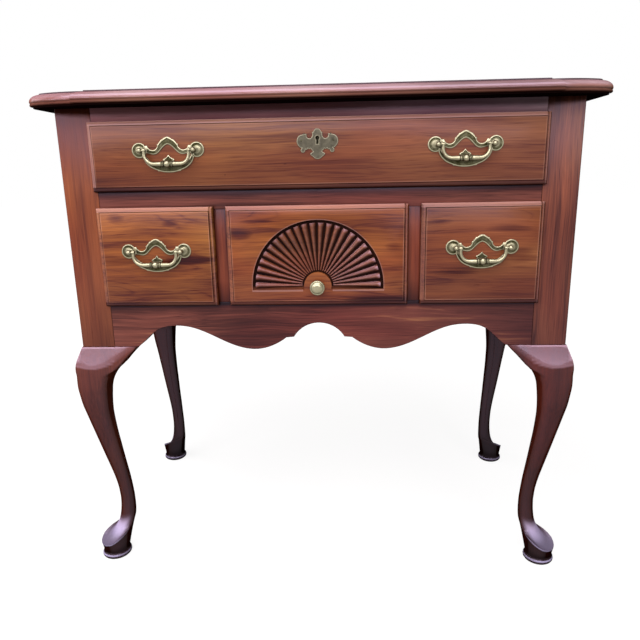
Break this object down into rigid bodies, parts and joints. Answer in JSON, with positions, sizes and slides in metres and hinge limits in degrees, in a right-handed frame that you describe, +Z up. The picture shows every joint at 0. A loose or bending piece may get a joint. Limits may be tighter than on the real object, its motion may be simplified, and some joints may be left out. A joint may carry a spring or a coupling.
{
  "type": "lowboy",
  "caption": "Lowboy on cabriole legs with pad feet: one long drawer over short ones, bail pulls, a carved fan with a knob, a keyhole plate and a moulded top.",
  "frame": {"origin": "on the floor, under the middle of the top board", "axes": "+X to the right seen from the front, +Y to the back, +Z up; the drawers face -Y"},
  "size_m": [0.808, 0.444, 0.747],
  "materials": {
    "top_cherry": "reddish-brown stained cherry, satin lacquer",
    "case_cherry": "reddish-brown stained cherry, satin lacquer",
    "leg_cherry": "dark reddish-brown stained cherry, satin lacquer",
    "drawer_front_cherry": "figured reddish-brown stained cherry, satin lacquer",
    "poplar": "plain pale wood, sanded",
    "back_board": "thin brown-stained board, matt",
    "antique_brass": "antiqued, highlights rubbed bright",
    "dull_brass": "antiqued flat sheet, dull",
    "lock_brass": "plain, dull",
    "steel": "zinc-plated"
  },
  "bodies": {
    "case": {"back_panel": "back_board", "corner_blocks": "poplar", "divider_left": "case_cherry", "divider_right": "case_cherry", "drawer_guides": "poplar", "front_apron": "case_cherry", "knee_blocks_front": "leg_cherry", "knee_blocks_left": "leg_cherry", "knee_blocks_right": "leg_cherry", "leg_front_left": "leg_cherry", "leg_front_right": "leg_cherry", "leg_rear_left": "leg_cherry", "leg_rear_right": "leg_cherry", "lower_runners": "poplar", "middle_rail": "case_cherry", "post_front_left": "case_cherry", "post_front_right": "case_cherry", "post_rear_left": "case_cherry", "post_rear_right": "case_cherry", "rear_cross_rails": "poplar", "side_panel_left": "case_cherry", "side_panel_right": "case_cherry", "top_board": "top_cherry", "top_cleats": "poplar", "top_rail": "case_cherry", "top_screws": "steel", "upper_runners": "poplar"},
    "top_drawer": {"top_drawer_back": "poplar", "top_drawer_bottom": "poplar", "top_drawer_front": "drawer_front_cherry", "top_drawer_sides": "poplar", "pull_plate_top_left": "antique_brass", "pull_plate_top_right": "antique_brass", "pull_posts_top": "antique_brass", "escutcheon": "dull_brass", "escutcheon_pins": "dull_brass", "lock_case": "lock_brass"},
    "left_drawer": {"left_drawer_back": "poplar", "left_drawer_bottom": "poplar", "left_drawer_front": "drawer_front_cherry", "left_drawer_sides": "poplar", "pull_plate_left": "antique_brass", "pull_posts_left": "antique_brass"},
    "centre_drawer": {"centre_drawer_back": "poplar", "centre_drawer_bottom": "poplar", "centre_drawer_front": "drawer_front_cherry", "centre_drawer_sides": "poplar", "knob": "antique_brass", "knob_screw": "steel"},
    "right_drawer": {"right_drawer_back": "poplar", "right_drawer_bottom": "poplar", "right_drawer_front": "drawer_front_cherry", "right_drawer_sides": "poplar", "pull_plate_right": "antique_brass", "pull_posts_right": "antique_brass"},
    "bail_top_left_body": {"bail_top_left": "antique_brass"},
    "bail_top_right_body": {"bail_top_right": "antique_brass"},
    "bail_left_body": {"bail_left": "antique_brass"},
    "bail_right_body": {"bail_right": "antique_brass"},
    "lock_bolt_body": {"lock_bolt": "lock_brass"}
  },
  "joints": [
    {"name": "top_drawer_slide", "type": "slide", "parent": "case", "child": "top_drawer", "axis": [0, -1, 0], "range_m": [0, 0.25]},
    {"name": "left_drawer_slide", "type": "slide", "parent": "case", "child": "left_drawer", "axis": [0, -1, 0], "range_m": [0, 0.25]},
    {"name": "centre_drawer_slide", "type": "slide", "parent": "case", "child": "centre_drawer", "axis": [0, -1, 0], "range_m": [0, 0.25]},
    {"name": "right_drawer_slide", "type": "slide", "parent": "case", "child": "right_drawer", "axis": [0, -1, 0], "range_m": [0, 0.25]},
    {"name": "bail_top_left_hinge", "type": "hinge", "parent": "top_drawer", "child": "bail_top_left_body", "pos_m": [-0.2075, -0.2006, 0.6668], "axis": [-1, 0, 0], "range_deg": [-10, 170]},
    {"name": "bail_top_right_hinge", "type": "hinge", "parent": "top_drawer", "child": "bail_top_right_body", "pos_m": [0.2075, -0.2006, 0.6668], "axis": [-1, 0, 0], "range_deg": [-10, 170]},
    {"name": "bail_left_hinge", "type": "hinge", "parent": "left_drawer", "child": "bail_left_body", "pos_m": [-0.2366, -0.2006, 0.52425], "axis": [-1, 0, 0], "range_deg": [-10, 170]},
    {"name": "bail_right_hinge", "type": "hinge", "parent": "right_drawer", "child": "bail_right_body", "pos_m": [0.2366, -0.2006, 0.52425], "axis": [-1, 0, 0], "range_deg": [-10, 170]},
    {"name": "lock_bolt_slide", "type": "slide", "parent": "top_drawer", "child": "lock_bolt_body", "axis": [0, 0, 1], "range_m": [0, 0.008]}
  ]
}
